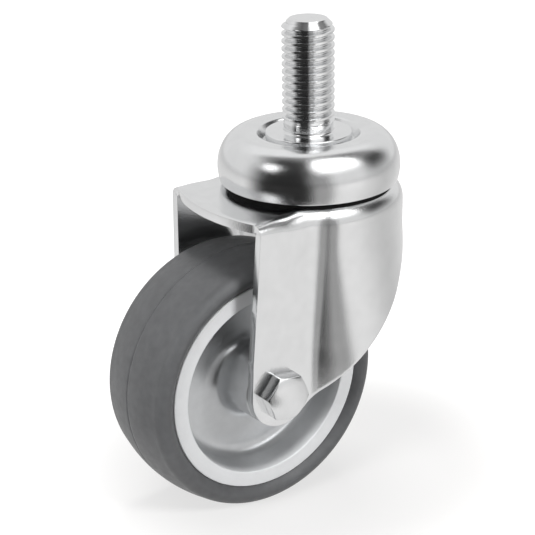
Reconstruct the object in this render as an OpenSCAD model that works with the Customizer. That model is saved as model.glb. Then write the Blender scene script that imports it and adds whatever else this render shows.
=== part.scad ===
// Swivel castor on a threaded stem.
// The origin is the centre of the stem flange's top face. +Z runs up the stem,
// the wheel trails towards -X and its axle lies along Y. All sizes are in millimetres.

/* [Stem] */
// Outer diameter of the thread
thread_d = 12; // [11.5:0.5:14]
// Distance between two ridges of the thread
thread_pitch = 1.75; // [1.25:0.25:2]
// Depth of the thread's grooves
thread_depth = 1; // [0.5:0.1:1]
// Length of the stem above its flange
stem_length = 26; // [18:1:60]
// Height of the bevel at the top of the thread
thread_bevel = 1.7; // [0.5:0.1:2.5]
// Length of the plain neck under the thread
neck_length = 3; // [2:0.5:6]
// Depth of the neck's groove below the thread's outer surface
neck_depth = 0.8; // [0.3:0.1:1.2]
// Diameter of the flange
flange_d = 19.8; // [18.5:0.1:20.4]
// Thickness of the flange
flange_t = 2; // [1.5:0.1:2.6]
// Diameter of the shank that passes down through the head
shank_d = 10; // [7:0.5:10.5]
// Diameter of the riveted end
rivet_d = 14.4; // [12.5:0.1:16]
// Height of the riveted end
rivet_h = 1.6; // [1:0.1:2.4]

/* [Head] */
// Outer diameter of the cup
cup_d = 42; // [41.6:0.1:44]
// Height of the cup's crest above the middle of its outer bulge
cup_rise = 7.9; // [7.4:0.1:8.6]
// Width of the cup's outer bulge, from its crest to its widest point
cup_bulge = 6; // [5.8:0.1:6.6]
// Depth of the cup's rim below the middle of its outer bulge
cup_skirt = 3.3; // [2:0.1:3.3]
// How far the cup's rim turns in
cup_turn_in = 0.5; // [0.1:0.1:1]
// Sheet thickness of the cup
cup_sheet = 2; // [1.6:0.1:2.1]
// Gap round the flange at the bottom of the cup's dimple
flange_gap = 0.5; // [0.2:0.1:0.8]
// Radius at the foot of the dimple's wall
dimple_fillet = 1.2; // [0.6:0.1:1.4]
// Depth of the crest's rounding towards the dimple
crest_depth = 1.7; // [1.2:0.1:2]
// Diameter of one upper ball
upper_ball_d = 5; // [4.6:0.1:5.2]
// Diameter of one lower ball
lower_ball_d = 4; // [3.6:0.1:4.2]
// Diameter of the ring on which the lower balls lie
lower_ring_d = 25.2; // [24.6:0.1:25.6]
// Thickness of the lower race's flange
lower_race_t = 2; // [1.5:0.1:3]
// Wall of the lower race's sleeve
sleeve_wall = 2.2; // [1.5:0.1:2.6]
// Width of the dust seal
seal_w = 1.6; // [0.8:0.1:1.8]
// How far the seal stands back from the cup's rim
seal_back = 1.2; // [0.3:0.1:1.2]

/* [Fork] */
// Depth of the crown's flat top below the flange
crown_drop = 12.8; // [12.6:0.1:14]
// Sheet thickness of the fork
fork_sheet = 2; // [1.5:0.1:2.2]
// Outer radius of the bend along the crown
bend_r = 3; // [2.3:0.1:3.6]
// Width across the legs just under the crown
crown_w = 35.8; // [34:0.2:38]
// Width across the legs at the axle
axle_w = 32.5; // [32:0.1:34]
// Height above the axle at which the legs start to spread
spread_start = 8.6; // [8:0.1:14]
// Outer radius of the round back
back_r = 21.9; // [21.5:0.1:23]
// Outer radius of the round back at the height of the axle
back_low_r = 21; // [19:0.1:21.3]
// Depth of the straight part of the round back below the crown
back_straight = 13.2; // [9:0.1:16]
// Depth of the skirt at the middle of the back
skirt_h = 7.1; // [4:0.1:12]
// Height above the axle at which the skirt's straight edge starts
skirt_start = 17.5; // [15:0.5:20]
// Distance from the stem's axis to the front of the legs under the crown
front_reach = 25.8; // [25.2:0.1:27.5]
// How far the crown's front edge bulges forward
front_bulge = 3; // [1.5:0.1:4]
// Radius of the rounded leg ends
leg_end_r = 7.9; // [7:0.1:9]
// Radius of the long arc along the rear of each leg
rear_arc_r = 250; // [200:5:300]
// Angle below the horizontal at which that arc leaves the leg's rounded end
rear_arc_start = 50; // [46:1:54]

/* [Wheel] */
// Wheel diameter
wheel_d = 62; // [56:1:64]
// Width of the tread
tread_w = 24; // [22:0.5:25]
// Fall of the tread's crown from the middle to the shoulder
tread_fall = 1.2; // [0.5:0.1:2]
// Radius of the tread's shoulder
shoulder_r = 3; // [1.5:0.1:3.4]
// Outer diameter of the rim ring
rim_d = 50.2; // [46:0.2:51]
// Width of the rim
rim_w = 21.4; // [19:0.2:21.6]
// Radial width of the rim's light face
rim_face = 3.6; // [2.5:0.1:5]
// Thickness of the web at its thinnest
web_t = 5; // [3:0.1:8]
// Diameter of the hub
hub_d = 16; // [14:0.5:19]
// Distance of the axle behind the stem's axis
trail = 19.8; // [19:0.1:21]
// Depth of the axle below the stem's flange
axle_drop = 54.6; // [54:0.1:56]

/* [Axle] */
// Diameter of the bolt
bolt_d = 6; // [5:0.5:6]
// Width across the flats of the bolt's head and the nut
hex_af = 10; // [9:0.1:11]
// Height of the bolt's head
head_h = 4; // [3:0.1:5]
// Turn of the bolt's head about its axis, in degrees
head_turn = 7.5; // [0:0.5:59]
// Height of the lock nut
nut_h = 6; // [5.5:0.1:8]
// Height of the nut's hexagon
nut_hex_h = 4.4; // [3.5:0.1:4.8]
// Length of the bolt past the nut
bolt_past = 1.2; // [0.2:0.1:3]
// Outer diameter of the axle tube
tube_d = 10; // [8.6:0.1:11]

/* [Fits] */
// Radial clearance of pieces that are fixed on a shaft
fixed_fit = 0.05; // [0.02:0.01:0.1]
// Radial running clearance of the wheel on its tube
wheel_fit = 0.07; // [0.03:0.01:0.1]
// Clearance round each ball
ball_fit = 0.15; // [0.1:0.05:0.2]
// Clearance between pieces that turn past each other
turn_gap = 0.35; // [0.3:0.05:0.6]

/* [Hidden] */
$fn = 96;
eps = 0.5;

steel = "#c9cbcd";
race_steel = "#a9abad";
ball_steel = "#d6d8da";
black = "#191919";
tread_grey = "#4d4f51";
rim_grey = "#b9bbbd";
nylon = "#e9e6dc";

// Thread sizes that follow from the sizes above
thread_crest = 0.25;
thread_root = 0.4;
thread_flank = (thread_pitch - thread_crest - thread_root) / 2;
thread_end_z = stem_length - thread_bevel;
grooves = floor((thread_end_z - neck_length - thread_crest) / thread_pitch);

// Small bevels, fillets and lips
edge = 0.3;
bevel = 0.6;
neck_fillet = 0.8;
crest_under = 1.3;
track_lip = 0.8;
lower_lip = 0.6;
hub_fillet = 4;
well_fillet = 3;
rim_draft = 1.2;
tread_foot = 1.4;
hex_face_inset = 0.15;

// Head sizes that follow from the sizes above
cup_r = cup_d / 2;
cup_ring_r = cup_r - cup_bulge;
crest_z = 0.1;
cup_mid_z = crest_z - cup_rise;
cup_rim_z = cup_mid_z - cup_skirt;
dimple_r = flange_d / 2 + flange_gap;
upper_ball_r = upper_ball_d / 2;
lower_ball_r = lower_ball_d / 2;
upper_ball_z = crest_z - cup_sheet - ball_fit - upper_ball_r;
race_r = upper_ball_r + ball_fit;
race_floor_z = upper_ball_z - race_r;
race_top_z = race_floor_z + track_lip;
crown_z = -crown_drop;
crown_under_z = crown_z - fork_sheet;
ledge_z = race_floor_z - fork_sheet;
lower_ball_ring_r = lower_ring_d / 2;
lower_ball_z = ledge_z - ball_fit - lower_ball_r;
lower_track_z = lower_ball_z - lower_ball_r - ball_fit;
lower_race_top_z = lower_track_z + lower_lip;
lower_race_z = lower_race_top_z - lower_race_t;
lower_race_r = lower_ball_ring_r + lower_ball_r;
sleeve_r = shank_d / 2 + fixed_fit + sleeve_wall;
hole_gap = 1.2;
crown_hole_r = sleeve_r + hole_gap;
pocket_r = lower_race_r + turn_gap;
boss_past_balls = 2;
boss_r = cup_ring_r + boss_past_balls;
boss_foot_r = boss_r + bevel + edge;
seal_r = cup_r - cup_turn_in - seal_back;
seal_top_z = cup_rim_z - turn_gap;

// Counts of balls: a full ring with a little room between neighbours
ball_room = 0.06;
upper_balls = floor(180 / asin((upper_ball_r + ball_room) / cup_ring_r));
lower_balls = floor(180 / asin((lower_ball_r + ball_room) / lower_ball_ring_r));

// Fork sizes that follow from the sizes above
axle_z = -axle_drop;
spread_z = axle_z + spread_start;
front_arc_r = (pow(crown_w / 2 - bend_r, 2) + pow(front_bulge, 2)) / (2 * front_bulge);
rear_arc_x = -trail - (rear_arc_r - leg_end_r) * cos(rear_arc_start);
rear_arc_z = axle_z + (rear_arc_r - leg_end_r) * sin(rear_arc_start);
back_end_z = axle_z - leg_end_r - eps;
bolt_hole_r = bolt_d / 2 + 2 * fixed_fit;
leg_inner_y = axle_w / 2 - fork_sheet;

// Wheel and axle sizes that follow from the sizes above
wheel_r = wheel_d / 2;
rim_r = rim_d / 2;
rim_inner_r = rim_r - rim_face;
bore_r = tube_d / 2 + wheel_fit;
hub_half = leg_inner_y - turn_gap;
bolt_r = bolt_d / 2;
bolt_end_y = axle_w / 2 + nut_h + bolt_past;
collar_r = hex_af / 2 - bevel;
insert_r = collar_r - bevel;
insert_h = 1.3;
insert_y = axle_w / 2 + nut_h - edge - insert_h;
nut_turn = 12;

function two_digits(n) = n < 10 ? str("0", n) : str(n);

upper_names = [for (i = [1:upper_balls]) str("upper_ball_", two_digits(i))];
lower_names = [for (i = [1:lower_balls]) str("lower_ball_", two_digits(i))];

// Points of an arc about a centre, with its own radius across and up
function arc(centre, across, up, from, to, steps) = [
    for (i = [0:steps])
        let (a = from + (to - from) * i / steps)
        [centre[0] + across * cos(a), centre[1] + up * sin(a)]
];

// Places its children on the axle, with their own z axis along the axle
module on_axle() {
    translate([-trail, 0, axle_z])
        rotate([-90, 0, 0])
            children();
}

// Hexagonal bar with its rounded face towards +z, for a bolt head or a nut
module hexagon(height, turn) {
    corner_r = hex_af / sqrt(3);
    intersection() {
        rotate([0, 0, turn])
            cylinder(r = corner_r, h = height, $fn = 6);
        rotate_extrude()
            polygon([
                [0, 0],
                [corner_r + edge, 0],
                [corner_r + edge, height - bevel],
                [hex_af / 2 - hex_face_inset, height],
                [0, height]
            ]);
    }
}

// Outline of the thread: rings with its pitch and depth stand for the helix
function thread_ridges(r) = [
    for (i = [0:grooves])
        let (z = neck_length + i * thread_pitch, root_r = r - thread_depth)
        each i == grooves ? [[r, z]] : [
            [r, z],
            [r, z + thread_crest],
            [root_r, z + thread_crest + thread_flank],
            [root_r, z + thread_pitch - thread_flank]
        ]
];

// The stem: thread, neck, flange, shank and riveted end, turned from one bar
module threaded_stem() {
    thread_r = thread_d / 2;
    neck_r = thread_r - neck_depth;
    shank_r = shank_d / 2;
    color(steel)
        rotate_extrude()
            polygon(concat(
                [[0, lower_race_z - rivet_h]],
                arc([0, lower_race_z], rivet_d / 2, rivet_h, -60, -20, 6),
                [
                    [rivet_d / 2, lower_race_z],
                    [shank_r, lower_race_z],
                    [shank_r, -flange_t],
                    [flange_d / 2 - edge, -flange_t],
                    [flange_d / 2, -flange_t + edge],
                    [flange_d / 2, -edge],
                    [flange_d / 2 - edge, 0]
                ],
                arc([neck_r + neck_fillet, neck_fillet], neck_fillet, neck_fillet, 270, 180, 6),
                [
                    [neck_r, neck_length - neck_depth]
                ],
                thread_ridges(thread_r),
                [
                    [thread_r, thread_end_z],
                    [thread_r - thread_bevel, stem_length],
                    [0, stem_length]
                ]
            ));
}

// The pressed cup: a ring-shaped bulge with a dimple that the flange sits in
module head_cup() {
    inner_across = cup_bulge - cup_sheet;
    inner_up = cup_rise - cup_sheet;
    rim_r_out = cup_r - cup_turn_in;
    crest_across = cup_ring_r - dimple_r - dimple_fillet;
    floor_z = -flange_t;
    stem_hole_r = shank_d / 2 + fixed_fit;
    color(steel)
        rotate_extrude()
            polygon(concat(
                [[stem_hole_r, floor_z]],
                arc([dimple_r, floor_z + dimple_fillet], dimple_fillet, dimple_fillet, -90, -45, 4),
                arc([cup_ring_r, crest_z - crest_depth], crest_across, crest_depth, 150, 100, 6),
                arc([cup_ring_r, cup_mid_z], cup_bulge, cup_rise, 90, 0, 16),
                [
                    [cup_r - cup_turn_in / 3, cup_mid_z - cup_skirt / 2],
                    [rim_r_out, cup_rim_z + edge],
                    [rim_r_out - edge, cup_rim_z],
                    [rim_r_out - cup_sheet + edge, cup_rim_z],
                    [rim_r_out - cup_sheet, cup_rim_z + edge]
                ],
                arc([cup_ring_r, cup_mid_z], inner_across, inner_up, 0, 90, 14),
                arc([cup_ring_r, crest_z - cup_sheet - crest_under], crest_across, crest_under, 100, 155, 5),
                [
                    [dimple_r + edge, floor_z - cup_sheet],
                    [stem_hole_r, floor_z - cup_sheet]
                ]
            ));
}

// The lower race: a sleeve under the cup with a flange that the lower balls run on
module lower_race() {
    color(race_steel)
        difference() {
            rotate_extrude()
                polygon([
                    [shank_d / 2 + fixed_fit, -flange_t - cup_sheet],
                    [sleeve_r, -flange_t - cup_sheet],
                    [sleeve_r, lower_race_top_z],
                    [lower_race_r, lower_race_top_z],
                    [lower_race_r, lower_race_z],
                    [shank_d / 2 + fixed_fit, lower_race_z]
                ]);
            rotate_extrude()
                translate([lower_ball_ring_r, lower_ball_z])
                    circle(r = lower_ball_r + ball_fit);
        }
}

// One ball of a ring, at its place round the stem
module ball(ring_r, z, r, count, index) {
    color(ball_steel)
        rotate([0, 0, 360 * index / count])
            translate([ring_r, 0, z])
                sphere(r = r, $fn = 48);
}

// The seal: a flat ring on the crown, just under the cup's rim
module dust_seal() {
    color(black)
        rotate_extrude()
            polygon([
                [seal_r - seal_w, crown_z],
                [seal_r, crown_z],
                [seal_r, seal_top_z - edge],
                [seal_r - edge, seal_top_z],
                [seal_r - seal_w, seal_top_z]
            ]);
}

// Solid block of the fork's outer form, or of its inside when shrunk by inset
module fork_block(inset, front) {
    top = crown_z - inset;
    r = bend_r - inset;
    rotate_extrude()
        polygon(concat(
            [[0, back_end_z - inset]],
            [
                [back_low_r - inset, back_end_z - inset],
                [back_low_r - inset, axle_z],
                [back_r - inset, crown_z - back_straight]
            ],
            arc([back_r - bend_r, crown_z - bend_r], r, r, 0, 90, 8),
            [[0, top]]
        ));
    rotate([90, 0, -90])
        linear_extrude(height = front)
            fork_front(inset, top, r);
}

// Front view of the same block: legs that spread towards the crown
module fork_front(inset, top, r) {
    low = axle_w / 2 - inset;
    high = crown_w / 2 - inset;
    polygon(concat(
        [
            [-low, back_end_z - inset],
            [low, back_end_z - inset],
            [low, spread_z]
        ],
        arc([high - r, top - r], r, r, 0, 90, 8),
        arc([r - high, top - r], r, r, 90, 180, 8),
        [[-low, spread_z]]
    ));
}

// Side view of the fork: round leg ends, a slanted front, and behind them one long arc
// that runs on as the straight edge of the skirt
module fork_side() {
    skirt_start_z = axle_z + skirt_start;
    skirt_angle = asin((skirt_start_z - rear_arc_z) / rear_arc_r);
    polygon(concat(
        [[-front_reach, crown_z + eps]],
        arc([-trail, axle_z], leg_end_r, leg_end_r, 180, 360 - rear_arc_start, 14),
        arc([rear_arc_x, rear_arc_z], rear_arc_r, rear_arc_r, -rear_arc_start, skirt_angle, 18),
        [
            [back_r, crown_z - skirt_h],
            [back_r + eps, crown_z - skirt_h],
            [back_r + eps, crown_z + eps]
        ]
    ));
}

// Section of the crown's raised boss, with the track of the upper balls cut in it
module crown_boss() {
    difference() {
        polygon([
            [boss_foot_r, crown_z],
            [boss_r + bevel, crown_z],
            [boss_r, crown_z + bevel],
            [boss_r, race_top_z - bevel],
            [boss_r - bevel, race_top_z],
            [cup_ring_r - race_r, race_top_z],
            [cup_ring_r - race_r - track_lip, race_floor_z],
            [crown_hole_r, race_floor_z],
            [crown_hole_r, ledge_z],
            [pocket_r, ledge_z],
            [pocket_r, crown_under_z],
            [boss_foot_r, crown_under_z]
        ]);
        translate([cup_ring_r, upper_ball_z])
            circle(r = race_r);
    }
}

// The crown's outline in front, a shallow arc that stands out past the legs
module crown_front() {
    arc_x = front_arc_r - front_reach - front_bulge;
    flat_w = crown_w - 2 * bend_r;
    intersection() {
        translate([arc_x, 0, crown_under_z - eps])
            cylinder(r = front_arc_r, h = fork_sheet + 2 * eps, $fn = 180);
        translate([-front_reach - front_bulge, -flat_w / 2, crown_under_z - eps])
            cube([front_reach + front_bulge, flat_w, fork_sheet + 2 * eps]);
    }
}

// The folded sheet before its boss is pressed, with a round hole in its crown
module fork_shell() {
    front = front_reach + front_bulge + eps;
    difference() {
        intersection() {
            difference() {
                fork_block(0, front);
                fork_block(fork_sheet, front + eps);
            }
            union() {
                rotate([90, 0, 0])
                    linear_extrude(height = 3 * back_r, center = true)
                        fork_side();
                crown_front();
            }
        }
        translate([0, 0, crown_under_z - eps])
            cylinder(r = pocket_r + fork_sheet / 2, h = fork_sheet + 2 * eps);
    }
}

// The fork: one folded sheet with a pressed boss in its crown
module fork() {
    color(steel)
        difference() {
            union() {
                fork_shell();
                rotate_extrude()
                    crown_boss();
            }
            on_axle()
                cylinder(r = bolt_hole_r, h = 3 * axle_w, center = true);
        }
}

// The bolt: hexagonal head against the near leg, shank through both legs
module axle_bolt() {
    color(steel)
        on_axle() {
            translate([0, 0, -axle_w / 2])
                rotate([180, 0, 0])
                    hexagon(head_h, head_turn);
            rotate_extrude()
                polygon([
                    [0, -axle_w / 2 - eps],
                    [bolt_r, -axle_w / 2 - eps],
                    [bolt_r, bolt_end_y - bevel],
                    [bolt_r - bevel, bolt_end_y],
                    [0, bolt_end_y]
                ]);
        }
}

// The lock nut: a hexagon with a round collar that holds the insert
module axle_nut() {
    color(steel)
        on_axle()
            difference() {
                translate([0, 0, axle_w / 2])
                    union() {
                        hexagon(nut_hex_h, nut_turn);
                        rotate_extrude()
                            polygon([
                                [0, nut_hex_h - eps],
                                [collar_r, nut_hex_h - eps],
                                [collar_r, nut_h - edge],
                                [collar_r - edge, nut_h],
                                [0, nut_h]
                            ]);
                    }
                cylinder(r = bolt_r + fixed_fit, h = 2 * bolt_end_y);
                translate([0, 0, insert_y])
                    cylinder(r = insert_r, h = insert_h);
            }
}

// The nylon ring inside the nut's collar
module nut_insert() {
    color(nylon)
        on_axle()
            translate([0, 0, insert_y])
                difference() {
                    cylinder(r = insert_r, h = insert_h);
                    translate([0, 0, -eps])
                        cylinder(r = bolt_r + fixed_fit, h = insert_h + 2 * eps);
                }
}

// The tube between the legs, on the bolt
module axle_tube() {
    color(race_steel)
        on_axle()
            difference() {
                cylinder(r = tube_d / 2, h = 2 * leg_inner_y, center = true);
                cylinder(r = bolt_hole_r, h = 2 * leg_inner_y + eps, center = true);
            }
}

// Half section of the moulded wheel, from its bore to its rim
function wheel_half() = let (
        hub_r = hub_d / 2,
        web_y = web_t / 2,
        face_y = rim_w / 2,
        well_r = rim_inner_r - rim_draft
    ) concat(
        [
            [bore_r, hub_half],
            [hub_r - bevel, hub_half],
            [hub_r, hub_half - bevel]
        ],
        arc([hub_r + hub_fillet, web_y + hub_fillet], hub_fillet, hub_fillet, 180, 270, 8),
        arc([well_r - well_fillet, web_y + well_fillet], well_fillet, well_fillet, -90, -8, 8),
        [
            [rim_inner_r, face_y],
            [rim_r - edge, face_y],
            [rim_r, face_y - edge]
        ]
    );

// The moulded wheel: hub, dished web and rim in one piece
module wheel_centre() {
    half = wheel_half();
    count = len(half);
    color(rim_grey)
        on_axle()
            rotate_extrude()
                polygon(concat(
                    half,
                    [for (i = [0:count - 1]) [half[count - 1 - i][0], -half[count - 1 - i][1]]]
                ));
}

// Half section of the tread, from the middle of its crown to the rim
function tread_half() = let (
        half_w = tread_w / 2,
        flat_w = half_w - shoulder_r,
        edge_r = wheel_r - tread_fall
    ) concat(
        [for (i = [0:6]) [wheel_r - tread_fall * pow(i / 6, 2), flat_w * i / 6]],
        arc([edge_r - shoulder_r, flat_w], shoulder_r, shoulder_r, 12, 90, 7),
        [
            [rim_r + tread_foot, half_w - edge],
            [rim_r, rim_w / 2 - edge]
        ]
    );

// The soft tread, moulded round the rim
module tread() {
    half = tread_half();
    count = len(half);
    color(tread_grey)
        on_axle()
            rotate_extrude($fn = 120)
                polygon(concat(
                    half,
                    [for (i = [0:count - 2]) [half[count - 1 - i][0], -half[count - 1 - i][1]]]
                ));
}

threaded_stem();
head_cup();
lower_race();
fork();
dust_seal();
axle_bolt();
axle_nut();
nut_insert();
axle_tube();
wheel_centre();
tread();
for (i = [0:upper_balls - 1])
    ball(cup_ring_r, upper_ball_z, upper_ball_r, upper_balls, i);
for (i = [0:lower_balls - 1])
    ball(lower_ball_ring_r, lower_ball_z, lower_ball_r, lower_balls, i);
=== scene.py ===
"""Looks of the swivel castor: smooth meshes, materials, floor, light and camera.

Sizes are in millimetres in the part's frame and become metres where a mesh is made. The origin is
the centre of the stem flange's top face, +Z runs up the stem and the axle lies along Y.
"""

import math

import bmesh
import bpy
import numpy as np
from mathutils import Matrix, Vector


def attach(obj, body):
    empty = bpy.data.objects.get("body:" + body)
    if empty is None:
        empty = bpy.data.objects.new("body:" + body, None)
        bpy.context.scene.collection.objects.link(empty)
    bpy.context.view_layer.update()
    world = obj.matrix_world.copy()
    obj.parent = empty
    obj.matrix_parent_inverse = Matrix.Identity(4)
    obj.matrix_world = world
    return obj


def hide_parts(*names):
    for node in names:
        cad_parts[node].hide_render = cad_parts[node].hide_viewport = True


MM = 0.001

# Stem
THREAD_R = 6.0
THREAD_ROOT_R = 4.95
PITCH = 1.75
# Half width of a ridge at its foot and width of its flank, as shares of the pitch
RIDGE_FOOT = 0.42
RIDGE_FLANK = 0.30
# Gain of radius per height where the ridges start, and loss of radius at the stem's bevelled end
RUN_OUT = 1.2
BEVEL_SLOPE = 0.98
STEM_TOP = 26.0
STEM_BEVEL = 1.7
# Width and height of the last small edge
END_EDGE = (0.12, 0.15)
THREAD_COLUMNS = 128
THREAD_ROWS = 16
NECK_R = 5.7
NECK_TOP = 2.2
FLANGE_R = 9.9
FLANGE_T = 2.0
SHANK_R = 5.0
RIVET_R = 7.2
RIVET_H = 1.6
RIVET_SEAT = -14.9

# Cup
CUP_RING_R = 15.0
CUP_MID_Z = -7.8
CUP_ACROSS = 6.0
CUP_UP = 7.9
CUP_ARC = (97, -21)
CUP_SHEET = 2.0
CUP_RIM_Z = -11.1
CUP_RIM_R = 20.5
DIMPLE_R = 10.6
CUP_HOLE_R = 5.05

# Fork
CROWN_Z = -12.5
# The crown falls along X towards its front edge, and rises under the cup, by its distance from
# the stem's axis and along X
CROWN_FALL = 0.35
CROWN_FALL_X = (-20.0, -27.0)
CROWN_RISE = 0.6
CROWN_RISE_R = (24.5, 20.0)
CROWN_RISE_X = (-19.0, -12.0)
SHEET = 2.0
BEND_R = 3.7
BEND_FRONT_R = 2.4
CROWN_HALF = 17.9
AXLE_HALF = 16.25
SPREAD_Z = -46.0
BACK_R = 21.9
BACK_REACH = 20.0
FRONT_X = -25.8
FRONT_BULGE = 3.0
LEG_R = 7.9
REAR_ARC_R = 250.0
REAR_ARC_START = 50.0
SKIRT_START_Z = -37.0
SKIRT_Z = -19.9
FORK_BORE_R = 15.2
BOLT_HOLE_R = 3.1
FORK_EDGE = 0.22
# The wall where the leg turns into the back: end of the flat along X, fillet radius, turn in
# degrees and reach of the curve behind it, at one height and at another
WALL_HIGH_Z = -22.0
WALL_HIGH = (-13.4, 8.0, 36.0, 8.5)
WALL_LOW_Z = -50.0
WALL_LOW = (-12.9, 5.0, 40.0, 18.5)
# Columns across the leg, the fillet, half the back and the crown's front edge
LEG_COLUMNS = 26
FILLET_COLUMNS = 11
BACK_COLUMNS = 33
FRONT_COLUMNS = 41
# Steps across the crown, round the bend and down the wall
CROWN_STEPS = 8
BEND_STEPS = 10
WALL_STEPS = 44
BISECTIONS = 50

# Boss under the cup
BOSS_FOOT_R = 17.6
BOSS_R = 17.0
BOSS_INNER_R = 14.95
BOSS_HOLE_R = 8.45
BOSS_FLOOR_Z = -7.2
BOSS_UNDER_Z = -9.2
BOSS_FOOT_Z = CROWN_Z - SHEET + 0.05
TRACK_Z = -4.55
TRACK_R = 2.65
TRACK_ARC = (-48, -132)

# Wheel and axle
AXLE = (-19.8, -54.6)
WHEEL_R = 31.0
TREAD_HALF = 12.0
TREAD_FALL = 1.2
SHOULDER_R = 3.0
SHOULDER_ARC = (4, 78)
# Depth of the parting line at distances from the tread's middle
SEAM = ((0.14, 0.0), (0.12, 0.07), (0.02, 0.16))
RIM_R = 25.1
RIM_INNER_R = 21.5
RIM_HALF = 10.7
WEB_HALF = 2.5
HUB_R = 8.0
HUB_HALF = 13.9
BORE_R = 5.07
BOLT_R = 3.0
BOLT_END = 23.45
BOLT_BEVEL = 0.6
BOLT_EDGE = 0.14
HEX_HALF = 5.0
HEX_COLUMNS = 96
HEX_FACE_SHARE = 0.955
HEX_BEVEL_SLOPE = 0.55
HEAD_H = 4.0
HEAD_TURN = 7.5
HEAD_DOME = 0.75
NUT_HEX_H = 4.4
NUT_H = 6.0
NUT_TURN = 12.0
NUT_EDGE = 0.12
COLLAR_R = 4.4
COLLAR_MOUTH_R = 3.8
COLLAR_DEPTH = 0.3

# Materials: the darkest and the lightest tone of each
ZINC_TONES = ((0.785, 0.79, 0.795), (0.825, 0.83, 0.835))
RACE_TONES = ((0.50, 0.50, 0.51), (0.62, 0.62, 0.63))
BALL_TONES = ((0.78, 0.78, 0.79), (0.86, 0.86, 0.87))
# The seal's near-black tone is partly painted shade: darker than black plastic, it stands in for
# the shadowed gap under the cup's rim
SEAL_AND_GAP_SHADE_TONES = ((0.003, 0.003, 0.003), (0.007, 0.007, 0.007))
NYLON_TONES = ((0.72, 0.70, 0.64), (0.78, 0.76, 0.70))
TREAD_TONES = ((0.094, 0.096, 0.099), (0.115, 0.117, 0.121))
RIM_TONES = ((0.79, 0.80, 0.81), (0.83, 0.84, 0.85))
WEB_TONES = ((0.56, 0.57, 0.58), (0.60, 0.61, 0.62))
WEB_EDGE = (RIM_INNER_R + 0.1, RIM_INNER_R - 0.5)
WEB_METAL = 0.75
WEB_ROUGH = 0.29
RIM_ROUGH = 0.42
# Scales of the noise per metre, and the part of its range that is used
STEEL_PATCHES = 260
STEEL_GLOSS = 900
STEEL_GRAIN = 3600
PLASTIC_PATCHES = 420
WHEEL_GRAIN = 1800
NOISE_SPAN = (0.3, 0.7)

# Floor: reflections see a share of its white and panels of other shares, a painted reflection of
# darker ground that the camera doesn't see. A panel has its azimuth from and to in degrees and its
# distance from and to in millimetres, half the widths of its soft edges, and its share
FLOOR_Z = AXLE[1] - WHEEL_R
FLOOR_HALF = 4000
FLOOR_COLOUR = (0.33, 0.325, 0.32, 1)
# Painted reflection: the share and panels below darken the floor only where reflections see it
FLOOR_PAINTED_REFLECTION_SHARE = 0.9
FLOOR_PAINTED_REFLECTION_PANELS = (
    ((-108, -24, 75, 9000), (16, 14), 0.03),
    ((-24, -6, 75, 9000), (7, 14), 0.36),
    ((44, 90, 0, 9000), (26, 14), 0.66),
)
# The floor's glow near the object, and what is added far from it, over a span of distances
FLOOR_GLOW = 0.62
FAR_GLOW = 0.4
FAR_START = (32, 80)

# Surroundings: tones that polished parts mirror. A panel has its azimuth from and to and its
# elevation from and to, half the widths of its soft edges, all in degrees, and its tone
WALL_TONE = 0.80
CEILING_TONE = 0.27
CEILING_EDGE = (36, 62)
PANELS = (
    ((-108, -26, -90, 72), (20, 13), 0.05),
    ((-36, -9, -90, 25), (4, 8), 0.36),
    ((-90, -38, -90, 33), (18, 18), 0.028),
    ((-26, 46, 40, 70), (12, 20), 3.8),
    ((-99, -84, 28, 43), (11, 8), 3.0),
    ((45, 88, 6, 51), (12, 20), 0.07),
    ((98, 200, 38, 100), (14, 8), 0.92),
    ((-200, -140, 38, 100), (14, 8), 0.92),
)
PLAIN_LIGHT = 0.15

# Lamps: name, place, width and power in watts
LAMPS = (
    ("front_lamp", (180, -690, 350), 200, 4.2),
    ("side_lamp", (-620, -120, 160), 300, 3.3),
    ("top_lamp", (150, 150, 700), 300, 2.0),
)

# Camera: azimuth, elevation and roll in degrees, distance, the point that it is aimed at, and its
# focal length and frame in pixels
CAMERA_TURN = (-34.632, 21.854, -0.878)
CAMERA_DISTANCE = 397.6
AIM_ACROSS = -9.829
AIM_Z = -33.659
FOCAL_PX = 1688.567
FRAME_PX = 535
SENSOR = 36
CLIP = (0.01, 20)


def eased(value, start, end):
    """0 at start and 1 at end with a smooth course between."""
    share = min(1, max(0, (value - start) / (end - start)))
    return share * share * (3 - 2 * share)


def arc(centre, across, up, start, end, steps):
    """Points of an arc with its own radius across and up, from one angle in degrees to another."""
    angles = np.radians(np.linspace(start, end, steps + 1))
    return [(centre[0] + across * math.cos(a), centre[1] + up * math.sin(a)) for a in angles]


def rounded(points, steps=4):
    """Rounds the corners of an open line of (r, h) or (r, h, corner radius) points."""
    line = [tuple(points[0][:2])]
    for before, corner, after in zip(points, points[1:], points[2:]):
        at = Vector(corner[:2])
        if len(corner) < 3:
            line.append(tuple(at))
            continue
        back, on = Vector(before[:2]) - at, Vector(after[:2]) - at
        half = back.angle(on) / 2
        reach = min(corner[2] / math.tan(half), 0.49 * back.length, 0.49 * on.length)
        start, end = at + back.normalized() * reach, at + on.normalized() * reach
        for i in range(steps + 1):
            t = i / steps
            line.append(tuple(start * (1 - t) ** 2 + at * 2 * t * (1 - t) + end * t * t))
    return line + [tuple(points[-1][:2])]


def mesh_object(name, vertices, faces):
    """A mesh object in metres from points in millimetres."""
    mesh = bpy.data.meshes.new(name)
    mesh.from_pydata([Vector(v) * MM for v in vertices], [], faces)
    obj = bpy.data.objects.new(name, mesh)
    bpy.context.scene.collection.objects.link(obj)
    return obj


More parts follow.
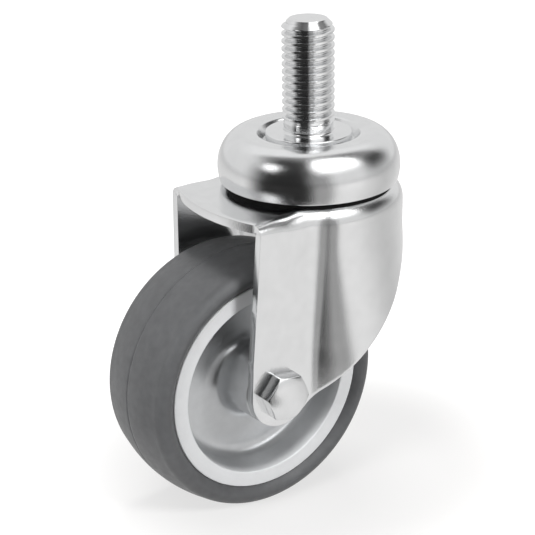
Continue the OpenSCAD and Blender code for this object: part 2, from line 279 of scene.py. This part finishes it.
def clean(obj, sharp_angle=32):
    """Merges doubles, turns the faces outwards and shades smooth up to an angle."""
    bm = bmesh.new()
    bm.from_mesh(obj.data)
    bmesh.ops.remove_doubles(bm, verts=bm.verts, dist=1e-7)
    bmesh.ops.dissolve_degenerate(bm, edges=bm.edges, dist=1e-8)
    bmesh.ops.recalc_face_normals(bm, faces=bm.faces)
    bm.to_mesh(obj.data)
    bm.free()
    obj.data.shade_smooth()
    obj.data.set_sharp_from_angle(angle=math.radians(sharp_angle))
    return obj


def bake(obj):
    """Replaces the object's mesh by what its modifiers make of it."""
    graph = bpy.context.evaluated_depsgraph_get()
    mesh = bpy.data.meshes.new_from_object(obj.evaluated_get(graph))
    obj.modifiers.clear()
    obj.data = mesh
    return obj


def grid_faces(rows, columns, wrap):
    """Faces of a grid of vertices counted row by row.

    A wrapped grid joins its last column to its first."""
    span = columns if wrap else columns - 1
    faces = []
    for i in range(rows - 1):
        for j in range(span):
            a, b = i * columns + j, i * columns + (j + 1) % columns
            faces.append((a, b, b + columns, a + columns))
    return faces


def turned(line, segments, closed):
    """Vertices and faces of a line of (r, z) turned about the z axis."""
    ring = list(line) + [line[0]] if closed else list(line)
    angles = np.linspace(0, 2 * math.pi, segments, endpoint=False)
    vertices = [(r * math.cos(a), r * math.sin(a), z) for r, z in ring for a in angles]
    return vertices, grid_faces(len(ring), segments, True)


def on_axle(obj):
    """Turns a mesh made about z so that its axis is the axle, with its +z towards +y."""
    move = Matrix.Translation(Vector((AXLE[0], 0, AXLE[1])) * MM)
    obj.data.transform(move @ Matrix.Rotation(math.radians(-90), 4, "X"))
    return obj


def lathe(name, line, segments=160, closed=True):
    """A turned piece about the z axis."""
    return mesh_object(name, *turned(line, segments, closed))


def mirrored(half):
    """A half line from h = 0 upwards, completed by its mirror image below."""
    return [(r, -h) for r, h in reversed(half) if h > 1e-9] + list(half)


# Materials


def principled(name, **values):
    """A material with the given values on its Principled shader, and its node tree."""
    material = bpy.data.materials.new(name)
    material.use_nodes = True
    shader = material.node_tree.nodes["Principled BSDF"]
    for socket, value in values.items():
        shader.inputs[socket.replace("_", " ")].default_value = value
    return material, material.node_tree, shader


def value_node(tree, operation, *inputs):
    """A Math node of numbers or sockets."""
    node = tree.nodes.new("ShaderNodeMath")
    node.operation = operation
    for socket, value in zip(node.inputs, inputs):
        if isinstance(value, (int, float)):
            socket.default_value = value
        else:
            tree.links.new(value, socket)
    return node.outputs["Value"]


def map_range(tree, value, limits, smooth=False):
    """The value mapped from the first two limits to the last two, and held there outside them."""
    node = tree.nodes.new("ShaderNodeMapRange")
    if smooth:
        node.interpolation_type = "SMOOTHSTEP"
    for socket, number in zip(("From Min", "From Max", "To Min", "To Max"), limits):
        node.inputs[socket].default_value = number
    tree.links.new(value, node.inputs["Value"])
    return node.outputs["Result"]


def radius_of(tree, across, up):
    """Distance in millimetres from an axis, by two coordinates in metres."""
    squares = [value_node(tree, "POWER", part, 2.0) for part in (across, up)]
    root = value_node(tree, "SQRT", value_node(tree, "ADD", *squares))
    return value_node(tree, "MULTIPLY", root, 1 / MM)


def smooth_step(tree, value, start, end):
    """0 below start and 1 above end, or the other way round where start is the greater."""
    limits = (start, end, 0, 1) if start < end else (end, start, 1, 0)
    return map_range(tree, value, limits, True)


def coordinates(tree, kind):
    """The x, y and z of one of the texture coordinates."""
    place = tree.nodes.new("ShaderNodeTexCoord")
    parts = tree.nodes.new("ShaderNodeSeparateXYZ")
    tree.links.new(place.outputs[kind], parts.inputs["Vector"])
    return (parts.outputs[axis] for axis in "XYZ")


def noise(tree, scale, detail):
    """Noise over the object's own coordinates, with its scale counted per metre."""
    place = tree.nodes.new("ShaderNodeTexCoord")
    texture = tree.nodes.new("ShaderNodeTexNoise")
    texture.inputs["Scale"].default_value = scale
    texture.inputs["Detail"].default_value = detail
    tree.links.new(place.outputs["Object"], texture.inputs["Vector"])
    return texture.outputs["Fac"]


def spread(tree, value, low, high):
    """The noise value spread over low to high."""
    return map_range(tree, value, (*NOISE_SPAN, low, high))


def ramp(tree, value, dark, light):
    """A colour between dark and light by the value."""
    node = tree.nodes.new("ShaderNodeValToRGB")
    node.color_ramp.elements[0].color = (*dark, 1)
    node.color_ramp.elements[1].color = (*light, 1)
    tree.links.new(value, node.inputs["Fac"])
    return node.outputs["Color"]


def bump(tree, shader, value, distance):
    """Relief of that depth in metres on the shader."""
    node = tree.nodes.new("ShaderNodeBump")
    node.inputs["Distance"].default_value = distance
    node.inputs["Strength"].default_value = 1.0
    tree.links.new(value, node.inputs["Height"])
    tree.links.new(node.outputs["Normal"], shader.inputs["Normal"])


def steel(name, tones, rough, relief):
    """Plated or ground steel: a little uneven in tone, gloss and relief."""
    material, tree, shader = principled(name, Metallic=1.0)
    tone = ramp(tree, spread(tree, noise(tree, STEEL_PATCHES, 3), 0, 1), *tones)
    tree.links.new(tone, shader.inputs["Base Color"])
    gloss = spread(tree, noise(tree, STEEL_GLOSS, 5), *rough)
    tree.links.new(gloss, shader.inputs["Roughness"])
    bump(tree, shader, noise(tree, STEEL_GRAIN, 3), relief)
    return material


def plastic(name, tones, rough, scale, relief, specular=0.5):
    """Moulded plastic or rubber: a fine even grain."""
    material, tree, shader = principled(name, Specular_IOR_Level=specular)
    tone = ramp(tree, spread(tree, noise(tree, PLASTIC_PATCHES, 5), 0, 1), *tones)
    tree.links.new(tone, shader.inputs["Base Color"])
    gloss = spread(tree, noise(tree, scale / 3, 4), *rough)
    tree.links.new(gloss, shader.inputs["Roughness"])
    bump(tree, shader, noise(tree, scale, 4), relief)
    return material


def wheel_plastic(name):
    """Moulded wheel: a pale matt rim face and a darker, metallic and glossy web inside it."""
    material, tree, shader = principled(name, Specular_IOR_Level=0.5)
    x, _, z = coordinates(tree, "Object")
    across = value_node(tree, "SUBTRACT", x, AXLE[0] * MM)
    up = value_node(tree, "SUBTRACT", z, AXLE[1] * MM)
    web = smooth_step(tree, radius_of(tree, across, up), *WEB_EDGE)
    grain = spread(tree, noise(tree, PLASTIC_PATCHES, 5), 0, 1)
    tone = tree.nodes.new("ShaderNodeMix")
    tone.data_type = "RGBA"
    tree.links.new(web, tone.inputs["Factor"])
    tree.links.new(ramp(tree, grain, *RIM_TONES), tone.inputs["A"])
    tree.links.new(ramp(tree, grain, *WEB_TONES), tone.inputs["B"])
    tree.links.new(tone.outputs["Result"], shader.inputs["Base Color"])
    tree.links.new(value_node(tree, "MULTIPLY", web, WEB_METAL), shader.inputs["Metallic"])
    rough = value_node(tree, "MULTIPLY_ADD", web, WEB_ROUGH - RIM_ROUGH, RIM_ROUGH)
    tree.links.new(rough, shader.inputs["Roughness"])
    bump(tree, shader, noise(tree, WHEEL_GRAIN, 4), 2e-6)
    return material


def finish_with(obj, material):
    """Gives an object its only material."""
    obj.data.materials.clear()
    obj.data.materials.append(material)
    return obj


# Stem


def thread_radius(angle, z):
    """Radius of the threaded bar at an angle and a height.

    Its ridges climb on a helix and run out at both ends."""
    phase = (z / PITCH - angle / (2 * math.pi)) % 1.0
    height = eased(RIDGE_FOOT - abs(phase - 0.5), 0, RIDGE_FLANK)
    floor = NECK_R + (THREAD_ROOT_R - NECK_R) * min(1, (z - NECK_TOP) / PITCH)
    ridge = THREAD_ROOT_R + (THREAD_R - THREAD_ROOT_R) * height
    run_out = NECK_R + RUN_OUT * (z - NECK_TOP)
    top_bevel = THREAD_R - (z - (STEM_TOP - STEM_BEVEL)) * BEVEL_SLOPE
    return min(top_bevel, max(floor, min(ridge, run_out)))


def make_stem():
    """The whole turned stem: helical thread, neck, flange, shank and riveted end."""
    step = PITCH / THREAD_ROWS
    bottom, top = NECK_TOP, STEM_TOP - END_EDGE[1]
    rows = int((top - bottom) / step) + THREAD_ROWS + 2
    thread = []
    for i in range(rows):
        for j in range(THREAD_COLUMNS + 1):
            angle = 2 * math.pi * j / THREAD_COLUMNS
            z = bottom + (i - THREAD_ROWS) * step + PITCH * j / THREAD_COLUMNS
            z = min(max(z, bottom), top)
            r = thread_radius(angle, z)
            thread.append((r * math.cos(angle), r * math.sin(angle), z))
    top_r = thread_radius(0, top)
    end = [(top_r, top), (top_r - END_EDGE[0], STEM_TOP), (0, STEM_TOP)]
    body = rounded([
        (NECK_R, NECK_TOP),
        (NECK_R, 0, 0.7),
        (FLANGE_R, 0, 0.35),
        (FLANGE_R, -FLANGE_T, 0.3),
        (SHANK_R, -FLANGE_T),
        (SHANK_R, RIVET_SEAT),
        (RIVET_R, RIVET_SEAT, 0.2),
    ])
    body += arc((0, RIVET_SEAT), RIVET_R, RIVET_H, -15, -60, 5)
    body.append((0, RIVET_SEAT - RIVET_H))
    vertices, faces = list(thread), grid_faces(rows, THREAD_COLUMNS + 1, False)
    for line in (end, body):
        points, around = turned(line, THREAD_COLUMNS, False)
        faces += [tuple(k + len(vertices) for k in f) for f in around]
        vertices += points
    return clean(mesh_object("stem", vertices, faces), 40)


# Cup


def make_cup():
    """The pressed cup: outer bulge, dimple for the flange, and the sheet's inner side."""
    middle = (CUP_RING_R, CUP_MID_Z)
    crest = CUP_MID_Z + CUP_UP
    outer = rounded([
        (CUP_HOLE_R, -FLANGE_T),
        (DIMPLE_R - 0.9, -FLANGE_T, 0.2),
        (DIMPLE_R, -FLANGE_T - 0.7, 0.25),
        (DIMPLE_R + 1.3, crest - 0.25, 0.9),
        (CUP_RING_R - 1.2, crest),
    ]) + arc(middle, CUP_ACROSS, CUP_UP, *CUP_ARC, 36)
    rim = rounded([
        outer[-1],
        (CUP_RIM_R, CUP_RIM_Z, 0.3),
        (CUP_RIM_R - CUP_SHEET, CUP_RIM_Z, 0.45),
        (CUP_RING_R + CUP_ACROSS - CUP_SHEET, CUP_MID_Z),
    ])
    inner = arc(middle, CUP_ACROSS - CUP_SHEET, CUP_UP - CUP_SHEET, 0, 110, 20)
    floor = [(DIMPLE_R + 0.3, -FLANGE_T - CUP_SHEET), (CUP_HOLE_R, -FLANGE_T - CUP_SHEET)]
    return clean(lathe("cup", outer + rim[1:-1] + inner + floor, 192))


# Fork


def leg_half(z):
    """Half width across the legs at a height: straight at the axle, wider towards the crown."""
    share = (z - SPREAD_Z) / (CROWN_Z - BEND_R - SPREAD_Z)
    return AXLE_HALF + (CROWN_HALF - AXLE_HALF) * max(0, share)


def front_edge(z):
    """Where the front edge of the legs is at a height."""
    share = (CROWN_Z - z) / (CROWN_Z - AXLE[1])
    return FRONT_X + (AXLE[0] - LEG_R - FRONT_X) * share


def side_outline(x):
    """Lowest height of the sheet, seen from the side, at a place along X."""
    turn = math.radians(REAR_ARC_START)
    arc_x = AXLE[0] - (REAR_ARC_R - LEG_R) * math.cos(turn)
    arc_z = AXLE[1] + (REAR_ARC_R - LEG_R) * math.sin(turn)
    start_x = arc_x + math.sqrt(REAR_ARC_R**2 - (SKIRT_START_Z - arc_z) ** 2)
    if x < AXLE[0] + LEG_R * math.cos(turn):
        return AXLE[1] - math.sqrt(max(0, LEG_R**2 - (x - AXLE[0]) ** 2))
    if x < start_x:
        return arc_z - math.sqrt(REAR_ARC_R**2 - (x - arc_x) ** 2)
    return SKIRT_START_Z + (x - start_x) / (BACK_R - start_x) * (SKIRT_Z - SKIRT_START_Z)


def crown_top(place):
    """Height of the crown, a little lower at its front edge and a little higher under the cup."""
    fall = CROWN_FALL * eased(place.x, *CROWN_FALL_X)
    rise = CROWN_RISE * eased(place.length, *CROWN_RISE_R) * eased(place.x, *CROWN_RISE_X)
    return CROWN_Z - fall + rise


def wall_point(column, z):
    """Place of the near wall at a height and its outward direction.

    Columns 0 to 1 cross the leg, 1 to 2 the fillet and 2 to 3 the back."""
    share = min(1, max(0, (WALL_HIGH_Z - z) / (WALL_HIGH_Z - WALL_LOW_Z)))
    flat_end, fillet, turn, reach = (a + (b - a) * share for a, b in zip(WALL_HIGH, WALL_LOW))
    leg, turn = leg_half(z), math.radians(turn)
    if column <= 1:
        front = front_edge(z)
        return Vector((front + (flat_end - front) * column, -leg)), Vector((0, -1))
    part = turn * min(1, column - 1)
    place = Vector((flat_end + fillet * math.sin(part), -leg - fillet * (1 - math.cos(part))))
    if column <= 2:
        return place, Vector((-math.sin(part), -math.cos(part)))
    handles = (
        place,
        place + reach * Vector((math.cos(turn), -math.sin(turn))),
        Vector((BACK_R, -BACK_REACH)),
        Vector((BACK_R, 0)),
    )
    t = column - 2
    while len(handles) > 2:
        handles = [a.lerp(b, t) for a, b in zip(handles, handles[1:])]
    slope = (handles[1] - handles[0]).normalized()
    return handles[0].lerp(handles[1], t), Vector((slope.y, -slope.x))


def lowest(column):
    """Height at which a column of the wall meets the side outline."""
    high, low = CROWN_Z - BEND_R, AXLE[1] - LEG_R
    if column <= 0:
        return AXLE[1]
    for _ in range(BISECTIONS):
        z = (high + low) / 2
        if z > side_outline(wall_point(column, z)[0].x):
            high = z
        else:
            low = z
    return high


def crown_point(edge, share):
    """Point of the crown on the way from its bore to a point of its edge."""
    p = (edge.normalized() * FORK_BORE_R).lerp(edge, share)
    return p.x, p.y, crown_top(p)


def sheet_column(column):
    """Points of one column of the near half: across the crown, round the bend, down the wall."""
    bend_r = BEND_FRONT_R + (BEND_R - BEND_FRONT_R) * eased(column, 0, 1)
    bend_z = CROWN_Z - bend_r
    place, out = wall_point(column, bend_z)
    edge = place - out * bend_r
    line = [crown_point(edge, k / CROWN_STEPS) for k in range(CROWN_STEPS)]
    for k in range(BEND_STEPS + 1):
        turn = math.pi / 2 * k / BEND_STEPS
        p = edge + out * bend_r * math.sin(turn)
        line.append((p.x, p.y, bend_z + (crown_top(edge) - bend_z) * math.cos(turn)))
    drop = lowest(column) - bend_z
    for k in range(1, WALL_STEPS + 1):
        z = bend_z + drop * k / WALL_STEPS
        line.append((*wall_point(column, z)[0], z))
    return line


def make_fork():
    """One folded sheet: crown with a bulged front, bent edge, and legs that blend into a back."""
    columns = [1 - math.cos(t) for t in np.linspace(0, math.pi / 2, LEG_COLUMNS)]
    columns += list(np.linspace(1, 2, FILLET_COLUMNS))[1:]
    columns += list(np.linspace(2, 3, BACK_COLUMNS))[1:]
    rows = [list(row) for row in zip(*(sheet_column(c) for c in columns))]
    rows = [row + [(x, -y, z) for x, y, z in reversed(row[:-1])] for row in rows]
    vertices = [p for row in rows for p in row]
    faces = grid_faces(len(rows), len(rows[0]), False)

    corner = Vector(rows[CROWN_STEPS][0][:2])
    arc_r = (corner.y**2 + FRONT_BULGE**2) / (2 * FRONT_BULGE)
    sweep = math.asin(-corner.y / arc_r)
    middle_x = corner.x - FRONT_BULGE + arc_r
    turns = np.linspace(-1, 1, FRONT_COLUMNS) * sweep
    edges = [Vector((middle_x - arc_r * math.cos(t), arc_r * math.sin(t))) for t in turns]
    front = [crown_point(e, k / CROWN_STEPS) for k in range(CROWN_STEPS + 1) for e in edges]
    front_faces = grid_faces(CROWN_STEPS + 1, FRONT_COLUMNS, False)
    faces += [tuple(k + len(vertices) for k in f) for f in front_faces]
    fork = clean(mesh_object("fork_sheet", vertices + front, faces), 180)

    solid = fork.modifiers.new("sheet", "SOLIDIFY")
    solid.thickness = SHEET * MM
    solid.offset = -1
    solid.use_even_offset = True
    return bake(fork)


def cut_bolt_hole(fork):
    """Cuts the hole for the bolt through both legs."""
    line = [(0, -40), (BOLT_HOLE_R, -40), (BOLT_HOLE_R, 40), (0, 40)]
    drill = clean(on_axle(lathe("drill", line, 64, False)))
    cut = fork.modifiers.new("hole", "BOOLEAN")
    cut.object = drill
    cut.solver = "EXACT"
    bake(fork)
    bpy.data.objects.remove(drill)
    return fork


def soften_edges(obj, width, angle=40):
    """Breaks the sharp edges with a small rounded bevel."""
    bevel = obj.modifiers.new("edges", "BEVEL")
    bevel.width = width * MM
    bevel.segments = 2
    bevel.limit_method = "ANGLE"
    bevel.angle_limit = math.radians(angle)
    bevel.harden_normals = False
    return clean(bake(obj), 50)


def make_boss():
    """The crown's raised boss under the cup, with the track that the upper balls run on."""
    line = rounded([
        (BOSS_FOOT_R, BOSS_FOOT_Z),
        (BOSS_FOOT_R, CROWN_Z - 0.1),
        (BOSS_R, CROWN_Z + 0.4, 0.3),
        (BOSS_R, -7.0, 0.3),
        (BOSS_R - 0.4, -6.6),
    ]) + arc((CUP_RING_R, TRACK_Z), TRACK_R, TRACK_R, *TRACK_ARC, 12) + rounded([
        (12.35, -6.4, 0.2),
        (11.55, BOSS_FLOOR_Z, 0.3),
        (BOSS_HOLE_R, BOSS_FLOOR_Z, 0.3),
        (BOSS_HOLE_R, BOSS_UNDER_Z, 0.3),
        (BOSS_INNER_R, BOSS_UNDER_Z, 0.8),
        (BOSS_INNER_R, BOSS_FOOT_Z),
    ])
    return clean(lathe("fork_boss", line))


# Axle


def hex_rows(height, turn, dome):
    """Rows of a hexagon bar from the centre of its low dome over its turned bevel to its foot."""
    flat_r = HEX_HALF * HEX_FACE_SHARE
    rings = 8 if dome else 1
    rows = []
    for k in range(rings + 3):
        row = []
        for j in range(HEX_COLUMNS):
            angle = 2 * math.pi * j / HEX_COLUMNS
            side = math.radians((math.degrees(angle) % 60) - 30)
            hex_r = HEX_HALF / math.cos(side)
            if k <= rings:
                r, z = flat_r * k / rings, height - dome * (k / rings) ** 2
            elif k == rings + 1:
                r, z = hex_r, height - dome - (hex_r - flat_r) * HEX_BEVEL_SLOPE
            else:
                r, z = hex_r, 0.0
            at = angle + math.radians(turn)
            row.append((r * math.cos(at), r * math.sin(at), z))
        rows.append(row)
    return rows


def hexagon(name, height, turn, dome=0.0):
    """A bolt head or nut body about the z axis."""
    rows = hex_rows(height, turn, dome)
    vertices = [p for row in rows for p in row]
    faces = grid_faces(len(rows), HEX_COLUMNS, True)
    faces.append(tuple(range((len(rows) - 1) * HEX_COLUMNS, len(vertices))))
    return clean(mesh_object(name, vertices, faces), 25)


def moved(obj, matrix):
    """The object's mesh after a matrix in metres."""
    obj.data.transform(matrix)
    obj.data.update()
    return obj


def joined(name, *objects):
    """One object made of several meshes."""
    bm = bmesh.new()
    for obj in objects:
        bm.from_mesh(obj.data)
        bpy.data.objects.remove(obj)
    mesh = bpy.data.meshes.new(name)
    bm.to_mesh(mesh)
    bm.free()
    obj = bpy.data.objects.new(name, mesh)
    bpy.context.scene.collection.objects.link(obj)
    return obj


def make_bolt():
    """The bolt: bevelled hexagon head against the near leg and a shank with a bevelled end."""
    head = hexagon("head", HEAD_H, 0, HEAD_DOME)
    moved(head, Matrix.Rotation(math.radians(180), 4, "X"))
    moved(head, Matrix.Rotation(math.radians(HEAD_TURN), 4, "Z"))
    moved(head, Matrix.Translation((0, 0, -AXLE_HALF * MM)))
    shank = lathe("shank", [
        (0, -AXLE_HALF - 0.5),
        (BOLT_R, -AXLE_HALF - 0.5),
        (BOLT_R, BOLT_END - BOLT_BEVEL),
        (BOLT_R - BOLT_BEVEL, BOLT_END),
        (0, BOLT_END),
    ], 64, False)
    bolt = joined("bolt", head, shank)
    return soften_edges(on_axle(clean(bolt, 25)), BOLT_EDGE, 25)


def make_nut():
    """The lock nut: hexagon with a round collar."""
    body = hexagon("nut_body", NUT_HEX_H, NUT_TURN)
    collar = lathe("collar", rounded([
        (0, NUT_HEX_H - 0.5),
        (COLLAR_R, NUT_HEX_H - 0.5),
        (COLLAR_R, NUT_H, 0.5),
        (COLLAR_MOUTH_R, NUT_H, 0.1),
        (COLLAR_MOUTH_R, NUT_H - COLLAR_DEPTH),
        (0, NUT_H - COLLAR_DEPTH),
    ]), 96, False)
    nut = joined("nut", body, collar)
    moved(nut, Matrix.Translation((0, 0, AXLE_HALF * MM)))
    return soften_edges(on_axle(clean(nut, 25)), NUT_EDGE, 25)


# Wheel


def make_wheel():
    """The moulded wheel: hub, dished web and the light rim ring."""
    half = rounded([
        (BORE_R, 0),
        (BORE_R, HUB_HALF, 0.3),
        (HUB_R, HUB_HALF, 0.5),
        (HUB_R + 0.2, WEB_HALF, 4.0),
        (RIM_INNER_R - 1.3, WEB_HALF, 3.2),
        (RIM_INNER_R, RIM_HALF, 0.35),
        (RIM_R, RIM_HALF, 0.3),
        (RIM_R, 0),
    ], 10)
    return clean(on_axle(lathe("wheel", mirrored(half), 192)), 30)


def make_tread():
    """The soft tread: low crown, round shoulders and a fine parting line round its middle."""
    flat = TREAD_HALF - SHOULDER_R
    seam = [(WHEEL_R - depth, place) for depth, place in SEAM]
    crown = [(WHEEL_R - TREAD_FALL * (i / 14) ** 2, flat * i / 14) for i in range(1, 14)]
    corner = (WHEEL_R - TREAD_FALL - SHOULDER_R, flat)
    shoulder = arc(corner, SHOULDER_R, SHOULDER_R, *SHOULDER_ARC, 12)
    side = [
        (RIM_R + 1.5, TREAD_HALF - 0.35),
        (RIM_R + 0.15, RIM_HALF - 0.15),
        (RIM_R - 0.02, RIM_HALF - 0.6),
    ]
    half = seam + crown + shoulder + side
    return clean(on_axle(lathe("tread_ring", mirrored(half), 240)), 60)


# Stage


def make_camera():
    """The camera at the photograph's place, direction and length."""
    azimuth, elevation, roll = (math.radians(a) for a in CAMERA_TURN)
    right = Vector((math.cos(azimuth), math.sin(azimuth), 0))
    aim = right * AIM_ACROSS + Vector((0, 0, AIM_Z))
    back = Vector((
        math.sin(azimuth) * math.cos(elevation),
        -math.cos(azimuth) * math.cos(elevation),
        math.sin(elevation),
    ))
    up = back.cross(right)
    across = math.cos(roll) * right + math.sin(roll) * up
    upward = -math.sin(roll) * right + math.cos(roll) * up
    data = bpy.data.cameras.new("camera")
    data.sensor_width = SENSOR
    data.lens = FOCAL_PX / FRAME_PX * SENSOR
    data.clip_start, data.clip_end = CLIP
    camera = bpy.data.objects.new("camera", data)
    bpy.context.scene.collection.objects.link(camera)
    turn = Matrix((across, upward, back)).transposed().to_4x4()
    camera.matrix_world = Matrix.Translation((aim + back * CAMERA_DISTANCE) * MM) @ turn
    bpy.context.scene.camera = camera


def azimuth_of(tree, x, y):
    """Degrees from -Y towards +X."""
    turn = value_node(tree, "ARCTAN2", x, value_node(tree, "MULTIPLY", y, -1.0))
    return value_node(tree, "MULTIPLY", turn, 180 / math.pi)


def band(tree, value, low, high, soft):
    """1 between low and high and 0 outside, with soft edges."""
    rise = smooth_step(tree, value, low - soft, low + soft)
    return value_node(tree, "MULTIPLY", rise, smooth_step(tree, value, high + soft, high - soft))


def panel(tree, under, azimuth, height, box, soft, tone):
    """Lays a panel of one tone over the surroundings or the floor.

    The box has the limits of its azimuth and its height or distance, and soft is half the width
    of its edges."""
    left, right, low, high = box
    across = band(tree, azimuth, left, right, soft[0])
    mask = value_node(tree, "MULTIPLY", across, band(tree, height, low, high, soft[1]))
    change = value_node(tree, "MULTIPLY", mask, value_node(tree, "SUBTRACT", tone, under))
    return value_node(tree, "ADD", under, change)


def make_floor():
    """A pale floor that the camera sees white round the object's shadow.

    Reflections alone see dark and grey panels painted on it, a painted reflection."""
    signs = ((-1, -1), (1, -1), (1, 1), (-1, 1))
    corners = [(FLOOR_HALF * a, FLOOR_HALF * b, FLOOR_Z) for a, b in signs]
    floor = mesh_object("floor", corners, [(0, 1, 2, 3)])
    material, tree, shader = principled("floor_white", Roughness=0.9, Specular_IOR_Level=0.0)
    x, y, _ = coordinates(tree, "Object")
    radius = radius_of(tree, x, y)
    # Painted reflection: the panels darken the floor only where glossy rays see it
    share = FLOOR_PAINTED_REFLECTION_SHARE
    for box, soft, level in FLOOR_PAINTED_REFLECTION_PANELS:
        share = panel(tree, share, azimuth_of(tree, x, y), radius, box, soft, level)
    rays = tree.nodes.new("ShaderNodeLightPath")
    in_camera, in_gloss = rays.outputs["Is Camera Ray"], rays.outputs["Is Glossy Ray"]
    painted_reflection_share = value_node(tree, "MULTIPLY", in_gloss, value_node(tree, "SUBTRACT", share, 1.0))
    painted_reflection_share = value_node(tree, "ADD", painted_reflection_share, 1.0)
    tint = tree.nodes.new("ShaderNodeMix")
    tint.data_type = "RGBA"
    tint.inputs["A"].default_value = (0, 0, 0, 1)
    tint.inputs["B"].default_value = FLOOR_COLOUR
    tree.links.new(painted_reflection_share, tint.inputs["Factor"])
    tree.links.new(tint.outputs["Result"], shader.inputs["Base Color"])
    shader.inputs["Emission Color"].default_value = (1, 1, 1, 1)
    seen = value_node(tree, "MAXIMUM", in_camera, in_gloss)
    far = value_node(tree, "MULTIPLY", smooth_step(tree, radius, *FAR_START), in_camera)
    level = value_node(tree, "MULTIPLY_ADD", far, FAR_GLOW, FLOOR_GLOW)
    glow = value_node(tree, "MULTIPLY", value_node(tree, "MULTIPLY", seen, painted_reflection_share), level)
    tree.links.new(glow, shader.inputs["Emission Strength"])
    floor.data.materials.append(material)


def make_surroundings():
    """Plain white light, in which polished parts mirror a studio.

    It has walls, a dim ceiling, soft boxes and dark gaps. Azimuth is counted from -Y towards +X,
    and elevation from the horizon, both in degrees."""
    world = bpy.data.worlds.new("surroundings")
    bpy.context.scene.world = world
    world.use_nodes = True
    tree = world.node_tree
    x, y, z = coordinates(tree, "Generated")
    azimuth = azimuth_of(tree, x, y)
    elevation = value_node(tree, "MULTIPLY", value_node(tree, "ARCSINE", z), 180 / math.pi)
    ceiling = smooth_step(tree, elevation, *CEILING_EDGE)
    tone = value_node(tree, "MULTIPLY_ADD", ceiling, CEILING_TONE - WALL_TONE, WALL_TONE)
    for box, soft, level in PANELS:
        tone = panel(tree, tone, azimuth, elevation, box, soft, level)
    rays = tree.nodes.new("ShaderNodeLightPath")
    in_camera, in_gloss = rays.outputs["Is Camera Ray"], rays.outputs["Is Glossy Ray"]
    mirrored_tone = value_node(tree, "SUBTRACT", tone, PLAIN_LIGHT)
    mirrored_tone = value_node(tree, "MULTIPLY", in_gloss, mirrored_tone)
    plain = value_node(tree, "MULTIPLY_ADD", in_camera, 1 - PLAIN_LIGHT, PLAIN_LIGHT)
    strength = value_node(tree, "ADD", mirrored_tone, plain)
    background = tree.nodes["Background"]
    background.inputs["Color"].default_value = (1, 1, 1, 1)
    tree.links.new(strength, background.inputs["Strength"])


def make_lamp(name, place, size, power):
    """A large soft lamp for the dull parts and the shadow, aimed at the origin."""
    data = bpy.data.lights.new(name, "AREA")
    data.shape = "DISK"
    data.size = size * MM
    data.energy = power
    lamp = bpy.data.objects.new(name, data)
    bpy.context.scene.collection.objects.link(lamp)
    place = Vector(place) * MM
    turn = place.to_track_quat("Z", "Y").to_matrix().to_4x4()
    lamp.matrix_world = Matrix.Translation(place) @ turn
    lamp.visible_glossy = False


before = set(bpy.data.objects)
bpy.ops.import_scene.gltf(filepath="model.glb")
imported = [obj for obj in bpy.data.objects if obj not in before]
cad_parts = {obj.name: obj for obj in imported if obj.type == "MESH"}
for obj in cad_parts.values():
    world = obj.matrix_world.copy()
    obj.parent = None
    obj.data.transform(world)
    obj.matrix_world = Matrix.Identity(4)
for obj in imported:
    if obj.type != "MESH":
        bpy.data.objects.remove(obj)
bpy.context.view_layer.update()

bpy.context.scene.view_settings.view_transform = "Standard"
make_camera()
make_floor()
make_surroundings()
for lamp_values in LAMPS:
    make_lamp(*lamp_values)

zinc = steel("zinc_plate", ZINC_TONES, (0.13, 0.18), 2.6e-5)
cut_zinc = steel("zinc_cut", ZINC_TONES, (0.06, 0.10), 1.0e-5)
race = steel("race_steel", RACE_TONES, (0.24, 0.34), 2e-6)
balls = steel("ball_steel", BALL_TONES, (0.05, 0.09), 2e-7)
# Black seal whose near-black tone is partly painted shade of the gap under the cup
seal_with_gap_shade = plastic("black_seal", SEAL_AND_GAP_SHADE_TONES, (0.6, 0.75), 3000, 1e-5, 0.12)
nylon = plastic("nylon", NYLON_TONES, (0.35, 0.45), 2400, 4e-6)
rim = wheel_plastic("grey_plastic")
rubber = plastic("grey_tread", TREAD_TONES, (0.38, 0.48), 2200, 1.0e-5)

stem = finish_with(make_stem(), cut_zinc)
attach(stem, "stem")
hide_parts("threaded_stem")
cup = finish_with(make_cup(), zinc)
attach(cup, "stem")
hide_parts("head_cup")

fork = soften_edges(cut_bolt_hole(make_fork()), FORK_EDGE)
finish_with(fork, zinc)
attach(fork, "swivel")
boss = finish_with(make_boss(), zinc)
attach(boss, "swivel")
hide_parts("fork")
bolt = finish_with(make_bolt(), zinc)
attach(bolt, "swivel")
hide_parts("axle_bolt")
nut = finish_with(make_nut(), zinc)
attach(nut, "swivel")
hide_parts("axle_nut")

wheel = finish_with(make_wheel(), rim)
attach(wheel, "wheel")
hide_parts("wheel_centre")
tread = finish_with(make_tread(), rubber)
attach(tread, "wheel")
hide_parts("tread")

for node, material in (
    ("lower_race", race), ("axle_tube", race), ("dust_seal", seal_with_gap_shade), ("nut_insert", nylon),
):
    finish_with(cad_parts[node], material)
for node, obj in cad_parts.items():
    if "_ball_" in node:
        finish_with(obj, balls)
